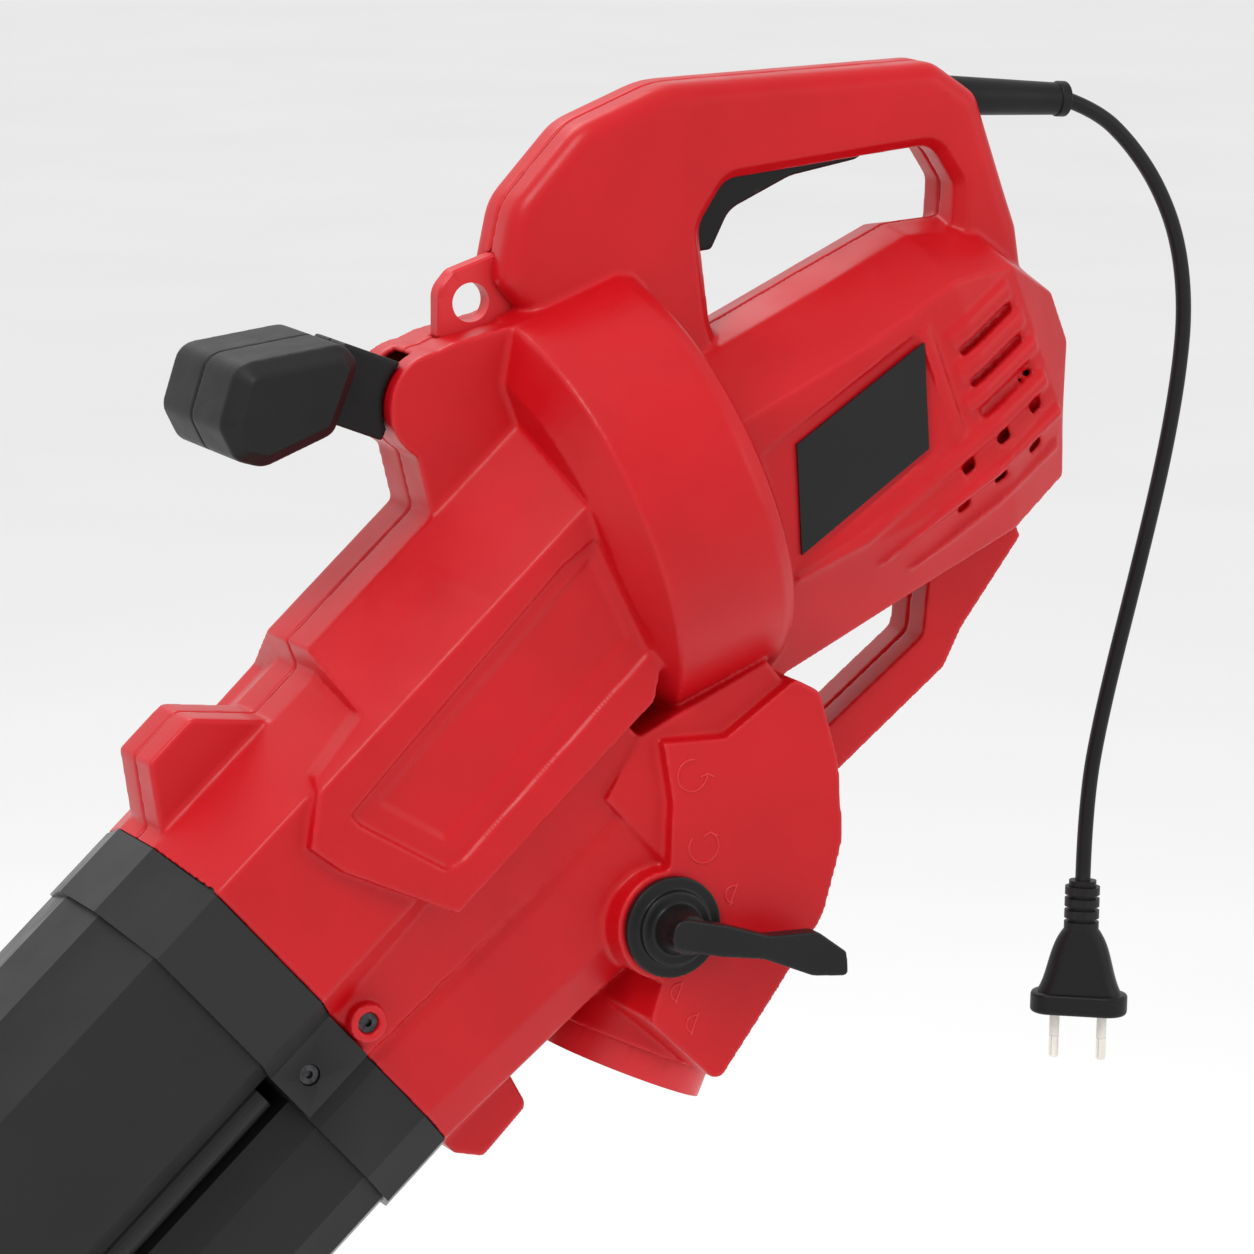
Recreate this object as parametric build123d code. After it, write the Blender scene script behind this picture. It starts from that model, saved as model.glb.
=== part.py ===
"""Electric hand-held leaf blower and vacuum, with a fan-and-motor body, a double tube and a mains lead.

The shapes are drawn in the tool's own frame: x runs back along the tubes, y to the operator's right,
z up at right angles to the tubes, from the centre of the hand grip.  HOLD then tips everything into
the pose the tool is carried in, nozzle down, so the saved parts have +Z up.  Sizes are millimetres.
"""
from build123d import *
import math
import os

os.makedirs("parts", exist_ok=True)

# ---- driving dimensions ---------------------------------------------------------------------------
HOLD_PITCH = 42.5        # tubes point this far below the horizon, degrees
FAN_DIP = 22.0           # fan and motor axis dips this much towards the rear of the tube axis
WALL = 2.6               # moulded housing wall
SPLIT_GAP = 0.1          # half the line between the two housing halves
FIT = 0.1                # clearance between pieces that are fixed together
RUN = 0.05               # radial clearance of a running fit
MOVE = 0.6               # air gap beside a moving piece

FAN_CENTRE = (-139.0, -54.0)   # fan axis where it meets the rear rim of the ring (tool x, z)
RING_R = 86.0            # fan ring outside radius
RING_WIDTH = 55.0        # fan ring, front edge to rear rim
RING_NOSE_R = 68.0       # front of the ring's chamfer
RING_NOSE = 11.0         # length of the ring's chamfer
MOTOR_LENGTH = 158.0     # motor housing behind the ring

GRIP_HALF = 17.0         # half width of the handle loop
GRIP_ROUND = 8.0         # rounding of the handle's long edges
OPENING_BEVEL = 5.0      # bevel round the finger opening
NECK_HALF = 20.0         # half width of the neck, the ridge and the hump
DUCT_FRONT = -392.0      # joint between the housing and the tubes
DUCT_HALF = 57.0         # half width of the suction duct
DUCT_TOP = 5.5           # top of the suction duct
DUCT_TOP_HALF = 18.0     # half width of its flat top
DUCT_SHOULDER = -9.0     # where its bevels meet its sides
DUCT_FLOOR = -83.0       # bottom of the suction duct
RAISED_HALF = 63.0       # half width of the raised body behind the step
BLOW_HALF = 40.0         # half width of the blowing duct at the front joint
WEB_HALF = 44.0          # half width there of the web between the two ducts
BLOW_TOP = -89.0
BLOW_FLOOR = -168.0
CHUTE_HALF = 64.0        # half width of the outlet chute
TUBE_LENGTH = 690.0      # tubes in front of the collar
COLLAR_LENGTH = 32.0
TUBE_WALL = 2.4
COLLAR_STEP = 3.0        # tubes are this much smaller than their collar
SPIGOT_R = 33.0          # bag spigot outside radius
SPIGOT_WALL = 2.8
SPIGOT_STEP = 0.5        # the spigot is this much smaller where its socket holds it
SPIGOT_LIP = 7.0         # the socket starts this far behind the mouth
SPIGOT_MOUTH = (-316.0, -208.0)
SPIGOT_LENGTH = 24.0
SPIGOT_AIM = 204.0       # direction the spigot points in the tool's xz plane, degrees

PIVOT = (-199.0, 43.0)   # tilting grip's pivot
HUMP_R = 21.0            # rounded front of the hump, about the pivot
AUX_HUB_R = 15.0         # hub of the tilting grip inside the hump
AUX_HUB_HALF = 8.0
AUX_STEM_HALF = 15.0
AUX_STEM_ANGLE = 116.0   # stem direction in the tool's xz plane
AUX_GRIP_HALF = 36.0
AUX_OFFSET = 4.6         # the stem stands this far forward of the pivot
HUMP_GAP = 0.8           # air gap between the stem's saddle and the hump
AUX_BOLT_R = 3.0
AUX_SWING = 46.0         # half angle of the slot that the stem's neck swings in

TRIGGER_PIVOT = (1.0, -16.0)
TRIGGER_HALF = 7.0
TRIGGER_PIN_R = 2.0
LEVER_CENTRE = (-278.0, -152.0)
LEVER_DISC_R = 19.5
SPINDLE_R = 6.0
LEVER_ANGLE = -56.0      # the lever arm at rest, in the tool's xz plane
EYE_CENTRE = (-160.8, 57.0)
EYE_R = 7.5
EYE_HALF = 4.0

SHAFT_R = 5.0
STATOR_R = 38.0
ROTOR_R = 22.4
BORE_R = 23.0            # stator bore
CAN_WALL = 2.0
IMPELLER_R = 72.0
BEARING_R = 13.0
BEARING_WIDTH = 8.0

SCREW_R = 2.0
SCREW_HEAD_R = 3.8
SCREW_HEAD = 3.0
SCREW_LENGTH = 22.0
SCREW_SEAT = 11.0        # the heads of the case screws lie this far right of the split
PILLAR_R = 4.6

CORD_R = 3.1
SLEEVE_R = 8.0
SLEEVE_TIP_R = 6.2
SLEEVE_LENGTH = 60.0
SLEEVE_DIR = (0.9973, 0, -0.0732)     # carried pose
SLEEVE_ROOT = (38.7, 0, 2.1)          # carried pose

HOLD = Rot(0, -HOLD_PITCH, 0)
TIP_UP = Rot(0, HOLD_PITCH, 0)   # from the carried pose back to the tool's own frame
FAN = Plane(
    origin=(FAN_CENTRE[0], 0, FAN_CENTRE[1]),
    x_dir=(math.sin(math.radians(FAN_DIP)), 0, math.cos(math.radians(FAN_DIP))),
    z_dir=(math.cos(math.radians(FAN_DIP)), 0, -math.sin(math.radians(FAN_DIP))),
).location


# ---- helpers ---------------------------------------------------------------------------------------
def polar(centre, length, angle):
    """A point in the tool's xz plane."""
    turn = math.radians(angle)
    return centre[0] + length * math.cos(turn), centre[1] + length * math.sin(turn)


def outline(corners):
    """A closed face in the tool's xz plane, from (x, z, corner radius)."""
    points = [(x, 0, z) for x, z, _ in corners]
    return make_face(FilletPolyline(*points, radius=[r for _, _, r in corners], close=True))


def plate(face, low, high):
    """An xz face made solid from y = low to y = high."""
    return extrude(Pos(0, low, 0) * face, amount=high - low, dir=(0, 1, 0))


def soft_plate(face, half, edge):
    """A plate as wide each side of the split, its long edges rounded."""
    solid = plate(face, -half, half)
    ends = [e for e in solid.edges() if abs(abs(e.center().Y) - half) < 1e-4]
    return fillet(ends, edge)


def across(radius, low, high, place):
    """A cylinder along y."""
    return Pos(place[0], (low + high) / 2, place[1]) * Rot(90, 0, 0) * Cylinder(radius, high - low)


def along(radius, low, high):
    """A cylinder on the fan axis."""
    return FAN * Pos(0, 0, (low + high) / 2) * Cylinder(radius, high - low)


def ring_on_axis(outer, inner, low, high):
    return along(outer, low, high) - along(inner, low - 1, high + 1)


def mirrored(points):
    """A closed outline from its right half, listed from the top centre to the bottom centre."""
    return points + [(-a, b) for a, b in reversed(points)]


def section(points, x):
    """A closed (y, z) outline standing across the duct at x."""
    return make_face(Polyline(*[(x, y, z) for y, z in points], close=True))


def fan_section(points, along_axis):
    """A closed (y, height) outline standing across the fan axis."""
    return FAN * make_face(Polyline(*[(h, -y, along_axis) for y, h in points], close=True))


def save(name, shape):
    solid = HOLD * shape
    solid.label = name
    export_step(solid, f"parts/{name}.step")
    print(f"{name}: {len(shape.solids())} solid, {shape.volume / 1000:.1f} cm3")


# ---- housing: outer form and cavity, from the same blocks ------------------------------------------
HANDLE = [
    (-151, 10, 0), (-150, 58, 6), (-126, 75, 22), (-87, 78, 24), (-51, 64, 40), (36, -11, 9),
    (41, -33, 8), (24, -72, 6), (19, -84, 4), (0, -112, 0), (-70, -80, 0), (-110, -30, 0),
]
OPENING = [
    (-104, -30, 0), (-98, -16, 6), (-77, 14, 12), (-57, 19, 10), (14, -34, 9), (11, -52, 6),
    (1, -62, 5), (-14, -75, 0), (-80, -60, 0),
]


def handle_loop(inset):
    """The neck, the grip and the rear post, in one loop whose finger opening has bevelled rims."""
    half = GRIP_HALF - inset
    loop = soft_plate(offset(outline(HANDLE), -inset), half, GRIP_ROUND - inset)
    rim = offset(outline(OPENING), inset)
    loop = loop - plate(rim, -half - 1, half + 1)
    for side in (-1, 1):
        bevel = extrude(
            Pos(0, side * (half - OPENING_BEVEL), 0) * rim,
            amount=OPENING_BEVEL + 1, dir=(0, side, 0), taper=-40,
        )
        loop = loop - bevel
    return loop


def fan_ring(inset):
    """The fan ring: a drum with a chamfered front and a rounded rear rim."""
    rear = 9.0
    profile = make_face(Polyline(
        (0, -RING_WIDTH - RING_NOSE + inset),
        (RING_NOSE_R - inset, -RING_WIDTH - RING_NOSE + inset),
        (RING_R - inset, -RING_WIDTH + inset / 2),
        (RING_R - inset, -rear - inset),
        (RING_R - 3 - inset, -3 - inset),
        (RING_R - rear - inset, -inset),
        (0, -inset),
        close=True,
    ))
    flat = Plane(origin=(0, 0, 0), x_dir=(1, 0, 0), z_dir=(0, -1, 0)).location
    return FAN * revolve(flat * profile, Axis.Z)


def motor_housing(inset):
    """The tapering motor housing, lofted between eight-sided sections across the fan axis."""
    # distance along the axis, top, shoulder height, waist, bottom shoulder, bottom, half widths
    stations = [
        (-20, 42, 38, 17, -48, -86, 19, 50, 34),
        (66, 49, 45, 26, -46, -78, 19, 51, 32),
        (110, 52, 49, 33, -42, -75, 18, 48, 29),
        (138, 44, 38, 27, -38, -66, 15, 41, 24),
        (MOTOR_LENGTH, 14, 10, 4, -16, -30, 8, 24, 10),
    ]
    sections = []
    for s, top, crown, shoulder, low, bottom, a, b, c in stations:
        s = min(max(s, -20 + inset), MOTOR_LENGTH - inset)
        half = mirrored([
            (0.01, top - inset), (a, crown - inset), (b - inset, shoulder), (b - inset, low),
            (c, bottom + inset),
        ])
        sections.append(fan_section(half, s))
    return loft(sections, ruled=True)


def duct_section(inset):
    """The suction duct's section: a flat top, wide bevels, upright sides and small lower bevels."""
    return mirrored([
        (DUCT_TOP_HALF - inset * 0.3, DUCT_TOP - inset), (DUCT_HALF - inset, DUCT_SHOULDER),
        (DUCT_HALF - inset, DUCT_FLOOR + 13), (DUCT_HALF - 13, DUCT_FLOOR + inset),
    ])


def blow_section(inset, half=BLOW_HALF, top=BLOW_TOP, floor=BLOW_FLOOR):
    """The blowing duct's rounded section."""
    return mirrored([
        (half * 0.4, top - inset), (half * 0.88 - inset, top - 9 - inset / 2),
        (half - inset, top - 24), (half - inset, floor + 26),
        (half * 0.85 - inset, floor + 10 + inset / 2), (half * 0.4, floor + inset),
    ])


def run(points, start, end):
    """A (y, z) outline run along the ducts from start to end."""
    return extrude(section(points, start), amount=end - start, dir=(1, 0, 0))


def duct_body(inset):
    """The suction duct from the tube joint to the fan ring."""
    front = DUCT_FRONT if inset == 0 else DUCT_FRONT - 5
    return run(duct_section(inset), front, -160 - inset)


RAISED = [
    (-299, 17, 0), (-307, -4, 0), (-336, -6, 0), (-356, -22, 0), (-353, -38, 0), (-333, -84, 0),
    (-232, -90, 0),
    (-190, -60, 0), (-160, 17, 0),
]


def raised_body(inset):
    """The thicker rear part of the suction duct, with its stepped, slanting front edge."""
    half = mirrored([
        (NECK_HALF, 16 - inset), (RAISED_HALF - inset, DUCT_SHOULDER),
        (RAISED_HALF - inset, -84 + inset),
    ])
    body = extrude(section(half, -360), amount=200 - inset, dir=(1, 0, 0))
    return body & plate(offset(outline(RAISED), -inset, kind=Kind.INTERSECTION), -70, 70)


def blow_duct(inset):
    """The blowing duct, from the small tube up to the chute."""
    front = DUCT_FRONT if inset == 0 else DUCT_FRONT - 5
    return loft([
        section(blow_section(inset), front),
        section(blow_section(inset, DUCT_HALF + 2, BLOW_TOP + 1, BLOW_FLOOR - 3), -236),
    ], ruled=True)


CHUTE = [
    (-232, -98, 0), (-213, -116, 0), (-178, -121, 3), (-174, -132, 6), (-187, -158, 30),
    (-206, -182, 30), (-232, -198, 20), (-270, -206, 0), (-306, -213, 4), (-309, -174, 2),
    (-293, -165, 0), (-292, -150, 8), (-266, -139, 10), (-245, -118, 10),
]


def chute(inset):
    """The outlet chute that carries the lever on its left face."""
    face = offset(outline(CHUTE), -inset, kind=Kind.INTERSECTION)
    return plate(face, -CHUTE_HALF + inset, CHUTE_HALF - inset)


def chute_core(inset):
    """The chute's narrower middle, between the fan ring, the blowing duct and the bag spigot."""
    face = outline([
        (-236, -92 - inset, 0), (-180, -110 - inset, 0), (-182 - inset, -150, 0),
        (-210 - inset, -184 + inset, 0), (-262 + inset, -198 + inset, 0), (-262 + inset, -100, 0),
    ])
    half = DUCT_HALF + 1 - inset
    return plate(face, -half, half)


HUMP = [
    (-234, 2, 0), (-230, 16, 3), (-219, 36, 6), (-212, 46, 0), (-193, 62, 0), (-179, 57, 0), (-158, 44.5, 2),
    (-150, 41, 0), (-130, 0, 0),
]


def hump(inset):
    """The hump that carries the tilting grip, with a rounded front."""
    low, high = -NECK_HALF + inset, NECK_HALF - inset
    base = plate(offset(outline(HUMP), -inset, kind=Kind.INTERSECTION), low, high)
    return base + across(HUMP_R - inset, low, high, PIVOT)


FOOT_LOOP = [
    (-184, -160, 0), (-182, -186, 4), (-120, -190, 9), (-104, -184, 9), (-62, -176, 0), (-52, -150, 0),
    (-70, -140, 0), (-100, -158, 6), (-118, -174, 5), (-172, -170, 4), (-176, -150, 0),
]


def lug_block():
    """The interlock lug on top of the duct, in front of the ridge."""
    face = outline([(-388, 0, 0), (-385, 8, 0), (-371, 29, 2), (-348, 29, 3), (-327, 5, 3), (-320, -4, 0)])
    return plate(face, -16, 16)


def foot_block():
    """The small foot under the blowing duct."""
    face = outline([(-391.5, -160, 0), (-391, -176, 2), (-384, -186, 3), (-358, -185, 3), (-352, -160, 0)])
    return plate(face, -14, 14)


def duct_web():
    """The solid web that joins the suction duct's floor to the blowing duct's top."""
    front = mirrored([(WEB_HALF, DUCT_FLOOR + 6), (WEB_HALF - 3, BLOW_TOP - 18)])
    rear = mirrored([(DUCT_HALF, DUCT_FLOOR + 6), (DUCT_HALF, BLOW_TOP - 18)])
    return loft([section(front, DUCT_FRONT), section(rear, -236)], ruled=True)


def spigot(radius, low, high):
    """A cylinder on the spigot's axis, from low to high behind its mouth."""
    mid = (low + high) / 2
    x, z = polar(SPIGOT_MOUTH, -mid, SPIGOT_AIM)
    return Pos(x, 0, z) * Rot(0, 90 - SPIGOT_AIM, 0) * Cylinder(radius, high - low)


def housing_blocks(inset):
    blocks = [handle_loop(inset), fan_ring(inset), motor_housing(inset), duct_body(inset)]
    blocks += [raised_body(inset), blow_duct(inset), chute(inset), chute_core(inset), hump(inset)]
    blocks.append(across(LEVER_DISC_R + 2 - inset, -CHUTE_HALF + inset, CHUTE_HALF - inset, LEVER_CENTRE))
    return blocks


# ---- seats and openings in the housing -------------------------------------------------------------
SCREWS = [
    (8.5, -24), (-106, 57), (20, -67), (-20, -107), (-50, -156), (-354, 17), (-374, -175),
    (-200, -165), (-112, -182), (-216, 24), (-340, -86),
]
SIDE_SCREWS = (-384.0, -94.0)    # joins the tubes to the housing, one each side
SIDE_SCREW_HALF = 50.0           # outer end of the side screw bosses
BOSS_START = 34.2                # inner end of the side screw bosses
BLOCK_SCREWS = (-413.0, -92.0)   # in the black block between the tubes
BLOCK_HALF = 46.0
GRIP_UNDER = (-21.5, -7.5)       # middle of the grip's underside
GRIP_SLOPE = 36.7                # the underside falls this much to the rear, in the tool frame
GRIP = Pos(GRIP_UNDER[0], 0, GRIP_UNDER[1]) * Rot(0, GRIP_SLOPE, 0)
RIBS = (28.0, 68.0)              # motor ribs, along the fan axis
RIB = 3.0
SWITCH = (-34.0, -2.0, 15.0, 29.0)   # switch along and above the grip's underside
LEAD_LOW = 20.0                  # top of the switch's rear rib, below the lead
SWITCH_HALF = 10.0
LABEL = [(25.8, 3), (88.9, 17.6), (76.8, -21.8), (13.1, -37.8)]   # along and above the fan axis
LABEL_FLOOR = 49.6
LABEL_THICK = 1.0
EYE_SLOT = 0.2
COLLAR_TONGUE = 18.0             # the tubes reach this far into the housing


def grip_box(g0, g1, n0, n1, half):
    """A box along the grip's underside frame."""
    return GRIP * Pos((g0 + g1) / 2, 0, (n0 + n1) / 2) * Box(g1 - g0, 2 * half, n1 - n0)


def label_block(grow, low, high):
    """The name-plate's slanting outline as a plate on one side of the motor housing."""
    spots = [FAN * Pos(h, 0, s) for s, h in LABEL]
    face = make_face(Polyline(*[(p.position.X, 0, p.position.Z) for p in spots], close=True))
    return plate(offset(face, grow, kind=Kind.INTERSECTION), low, high)


def eye_outline(grow):
    """The strap eye: a rounded tab with a tongue that runs into the neck."""
    return offset(outline([
        (-180, 40, 0), (-179, 57, 2), (-167, 70, 9), (-158, 71, 5), (-132, 59, 3), (-138, 36, 3),
    ]), grow, kind=Kind.INTERSECTION)


def trigger_slot():
    """Room for the trigger to move, cut through the grip's underside and the neck."""
    face = make_face(Polyline(*[(g, 0, n) for g, n in [
        (-67, -32), (-67, 16), (30, 16), (30, 0), (17, -12), (-40, -32)]], close=True))
    return GRIP * plate(face, -TRIGGER_HALF - MOVE, TRIGGER_HALF + MOVE)


def hump_slot():
    """The slot in the hump for the tilting grip's hub, open to the front for its stem."""
    half = AUX_HUB_HALF + MOVE
    low, high = AUX_STEM_ANGLE - AUX_SWING, AUX_STEM_ANGLE + AUX_SWING
    mouth = make_face(Polyline(*[(x, 0, z) for x, z in [
        PIVOT, polar(PIVOT, 34, low), polar(PIVOT, 40, (low + high) / 2), polar(PIVOT, 34, high)]], close=True))
    return across(AUX_HUB_R + MOVE, -half, half, PIVOT) + plate(mouth, -half, half)


VENT_SLOPE = 0.23                # the louvres and grid rise this much for each unit to the rear
LOUVRES = [(4.6, 3.4), (-8.6, 3.4), (-22.0, 5.0)]    # height at the field's front edge, opening
GRID_ROWS = [(-39.0, 5.4, 88.0), (-53.5, 5.4, 82.5)]  # height there, opening, start of the row
GRID_PITCH = 18.5
GRID_SLOT = 6.0


def slanting_slot(start, length, height, opening):
    """A slot through both sides of the motor housing, in line with the louvres."""
    rise = VENT_SLOPE * length
    corners = [(start, height), (start + length, height + rise), (start + length, height + rise + opening),
               (start, height + opening)]
    spots = [(FAN * Pos(h, 0, s)).position for s, h in corners]
    face = make_face(Polyline(*[(p.X, 0, p.Z) for p in spots], close=True))
    return plate(face, -70, 70)


def vents():
    """Cooling slots through both sides of the motor housing's rear end."""
    slots = [slanting_slot(103, 29, height, opening) for height, opening in LOUVRES]
    for height, opening, start in GRID_ROWS:
        for k in range(3):
            reach = GRID_PITCH * k
            slots.append(slanting_slot(start + reach, GRID_SLOT, height + VENT_SLOPE * reach, opening))
    return slots


SLEEVE = TIP_UP * Plane(origin=SLEEVE_ROOT, z_dir=SLEEVE_DIR).location
CLAMP_PLACE = -11.0              # along the sleeve's axis, inside the grip
CLAMP_SCREW_R = 1.5
CLAMP_PITCH = 14.4               # between the clamp's screws, one above the lead and one below


def sleeve_shape(grow):
    """The cord's tapered sleeve with its inner collar."""
    body = Pos(0, 0, SLEEVE_LENGTH / 2) * Cone(SLEEVE_R + grow, SLEEVE_TIP_R + grow, SLEEVE_LENGTH)
    collar = Pos(0, 0, 2) * Cylinder(SLEEVE_R + 2 + grow, 4 + 2 * grow)
    tip = Pos(0, 0, SLEEVE_LENGTH - 2.2) * Cylinder(SLEEVE_TIP_R + 0.8 + grow, 4.4)
    return SLEEVE * (body + collar + fillet(tip.edges().filter_by(GeomType.CIRCLE), 0.8))


def clamp_post(side):
    """Where a clamp screw stands in the tool's xz plane."""
    spot = (SLEEVE * Pos(side * CLAMP_PITCH / 2, 0, CLAMP_PLACE)).position
    return spot.X, spot.Z


def side_boss(side, radius, start):
    """A boss for the side screw, joined to the duct above it by a short web."""
    boss = side_hole(radius, side, start, SIDE_SCREW_HALF, SIDE_SCREWS)
    web = Pos(SIDE_SCREWS[0], side * (start + 5), SIDE_SCREWS[1] + 6.5) * Box(2 * radius, 10, 13)
    return boss + web




def pillars():
    """Screw pillars, bearing seats and ribs that fill parts of the cavity."""
    solids = [across(PILLAR_R, -60, 60, place) for place in SCREWS]
    solids.append(across(AUX_BOLT_R + 3, -NECK_HALF, NECK_HALF, PIVOT))
    solids.append(across(TRIGGER_PIN_R + 2.4, -GRIP_HALF, GRIP_HALF, TRIGGER_PIVOT))
    solids += [ring_on_axis(90, STATOR_R + FIT, s, s + RIB) for s in RIBS]
    g0, g1, n0, n1 = SWITCH
    solids += [grip_box(g0 - 2.2, g0 - FIT, n0, 45, 30), grip_box(g1 + FIT, g1 + 2.2, n0, LEAD_LOW, 30)]
    solids.append(across(SPINDLE_R + 3, CHUTE_HALF - 8, CHUTE_HALF, LEVER_CENTRE))
    solids += [across(3.6, -GRIP_HALF, -SPLIT_GAP / 2, clamp_post(side)) for side in (-1, 1)]
    solids += [side_boss(side, 6, BOSS_START) for side in (-1, 1)]
    return solids


def housing():
    """Both housing halves, hollow, with every seat cut."""
    outer = housing_blocks(0)
    loop = plate(outline(FOOT_LOOP), -15, 15)
    body = outer[0].fuse(*outer[1:], lug_block(), foot_block(), loop, duct_web())
    body = body.fuse(spigot(SPIGOT_R + 3, SPIGOT_LIP, SPIGOT_LENGTH + 34))
    body = body.fuse(side_boss(-1, 7.5, BOSS_START), side_boss(1, 7.5, BOSS_START))
    inner = housing_blocks(WALL)
    hollow = inner[0].fuse(*inner[1:])
    hollow = hollow.cut(*pillars())
    body = body - hollow
    cuts = [hump_slot(), trigger_slot(), sleeve_shape(FIT)]
    cuts += vents()
    cuts.append(spigot(SPIGOT_R + FIT, -5, SPIGOT_LIP))
    cuts.append(spigot(SPIGOT_R - SPIGOT_STEP + FIT, SPIGOT_LIP - 1, SPIGOT_LENGTH + 2 + FIT))
    cuts.append(spigot(SPIGOT_R - SPIGOT_WALL, SPIGOT_LENGTH, SPIGOT_LENGTH + 40))
    cuts.append(plate(eye_outline(EYE_SLOT), -EYE_HALF - EYE_SLOT, EYE_HALF + EYE_SLOT))
    cuts.append(label_block(FIT, -70, -LABEL_FLOOR))
    cuts.append(label_block(FIT, LABEL_FLOOR, 70))
    cuts.append(across(SPINDLE_R + RUN, -CHUTE_HALF - 5, CHUTE_HALF - 3, LEVER_CENTRE))
    cuts.append(across(AUX_BOLT_R + RUN, -NECK_HALF + 2, NECK_HALF - 2, PIVOT))
    cuts.append(across(TRIGGER_PIN_R + RUN, -GRIP_HALF + 3, GRIP_HALF - 3, TRIGGER_PIVOT))
    for place in SCREWS:
        cuts.append(across(SCREW_R + RUN, SCREW_SEAT - SCREW_LENGTH - 1, SCREW_SEAT + 1, place))
        cuts.append(across(SCREW_HEAD_R + 0.4, SCREW_SEAT, 80, place))
    for side in (-1, 1):
        cuts.append(across(CLAMP_SCREW_R + RUN, -GRIP_HALF + 4, 1, clamp_post(side)))
        cuts.append(side_hole(SCREW_R + RUN, side, SIDE_SCREW_HALF - 22, SIDE_SCREW_HALF, SIDE_SCREWS))
        cuts.append(side_hole(
            SCREW_HEAD_R + 0.4, side, SIDE_SCREW_HALF - 5, SIDE_SCREW_HALF + 9, SIDE_SCREWS))
    return body.cut(*cuts)


def side_hole(radius, side, low, high, place):
    """A cylinder along y on one side of the split, from low to high away from it."""
    ends = sorted((side * low, side * high))
    return across(radius, ends[0], ends[1], place)


def half_space(side):
    """Everything on one side of the split, less half the parting line."""
    return Pos(-150, side * (150 + SPLIT_GAP / 2), -60) * Box(700, 300, 700)


shell = housing()
housing_right = shell & half_space(1)
housing_left = shell & half_space(-1)
save("housing_right", housing_right)
save("housing_left", housing_left)


# ---- fasteners -------------------------------------------------------------------------------------
def screw(place, seat, length, side=1):
    """A pan-head screw along y, its head outside the seat; side is -1 for one driven from the left."""
    shank = side_hole(SCREW_R, side, seat - length, seat, place)
    head = side_hole(SCREW_HEAD_R, side, seat, seat + SCREW_HEAD, place)
    socket = side_hole(1.6, side, seat + SCREW_HEAD - 1.6, seat + SCREW_HEAD + 1, place)
    return shank + head - socket


save("housing_screws", Compound([screw(place, SCREW_SEAT, SCREW_LENGTH) for place in SCREWS]))
save("side_screws", Compound([screw(SIDE_SCREWS, SIDE_SCREW_HALF - 5, 15, side) for side in (-1, 1)]))


# ---- name plates, strap eye, bag spigot ------------------------------------------------------------
save("label_left", label_block(0, -LABEL_FLOOR - LABEL_THICK, -LABEL_FLOOR))
save("label_right", label_block(0, LABEL_FLOOR, LABEL_FLOOR + LABEL_THICK))
eye = plate(eye_outline(0), -EYE_HALF, EYE_HALF)
eye_rim = [e for e in eye.edges() if abs(abs(e.center().Y) - EYE_HALF) < 1e-4]
save("strap_eye", chamfer(eye_rim, 0.8) - across(EYE_R, -10, 10, EYE_CENTRE))
bag_spigot = spigot(SPIGOT_R, -4, SPIGOT_LIP - FIT)
bag_spigot += spigot(SPIGOT_R - SPIGOT_STEP, 0, SPIGOT_LENGTH + 2)
bag_spigot -= spigot(SPIGOT_R - SPIGOT_WALL, -5, SPIGOT_LENGTH + 3)
save("bag_spigot", bag_spigot)


# ---- tubes -----------------------------------------------------------------------------------------
TUBE_END = DUCT_FRONT - COLLAR_LENGTH - TUBE_LENGTH
NOZZLE_CUT = 22.0        # the nozzle's mouth leans back this much


def nozzle_trim():
    """The slanting cut across both tubes' mouths."""
    return Pos(TUBE_END - 100, 0, -80) * Rot(0, NOZZLE_CUT, 0) * Box(200, 200, 500)


front = DUCT_FRONT - 0.3
step = front - COLLAR_LENGTH
tongue = DUCT_FRONT + COLLAR_TONGUE
upper = run(duct_section(0), step, front) + run(duct_section(COLLAR_STEP), TUBE_END, step)
upper += run(duct_section(WALL + FIT), front, tongue)
upper -= run(duct_section(WALL + TUBE_WALL), step - 4, tongue + 1)
upper -= run(duct_section(COLLAR_STEP + TUBE_WALL), TUBE_END - 1, step - 4)
lower = run(blow_section(0), step, front) + run(blow_section(COLLAR_STEP), TUBE_END, step)
lower += run(blow_section(WALL + FIT), front, tongue)
block = Pos((step + front) / 2, 0, BLOCK_SCREWS[1]) * Box(COLLAR_LENGTH, 2 * BLOCK_HALF, 24)
lower += block
lower -= run(blow_section(WALL + TUBE_WALL), step - 4, tongue + 1)
lower -= run(blow_section(COLLAR_STEP + TUBE_WALL), TUBE_END - 1, step - 4)
lower -= run(duct_section(-FIT), step - 5, front + 5)
for side in (-1, 1):
    lug_place = Pos((front + tongue) / 2, side * (BOSS_START - 5.1), SIDE_SCREWS[1] - 2)
    lug = lug_place * Box(tongue - front, 10, 12)
    lug = lug & run(blow_section(WALL + FIT), front, tongue)
    lower += lug - side_hole(SCREW_R + RUN, side, 20, 50, SIDE_SCREWS)
    lower -= side_hole(SCREW_HEAD_R + 0.4, side, BLOCK_HALF - 4, BLOCK_HALF + 5, BLOCK_SCREWS)
    lower -= side_hole(SCREW_R + RUN, side, BLOCK_HALF - 15, BLOCK_HALF, BLOCK_SCREWS)
save("upper_tube", upper - nozzle_trim())
save("lower_tube", lower - nozzle_trim())
save("tube_screws", Compound([screw(BLOCK_SCREWS, BLOCK_HALF - 4, 10, side) for side in (-1, 1)]))


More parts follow.
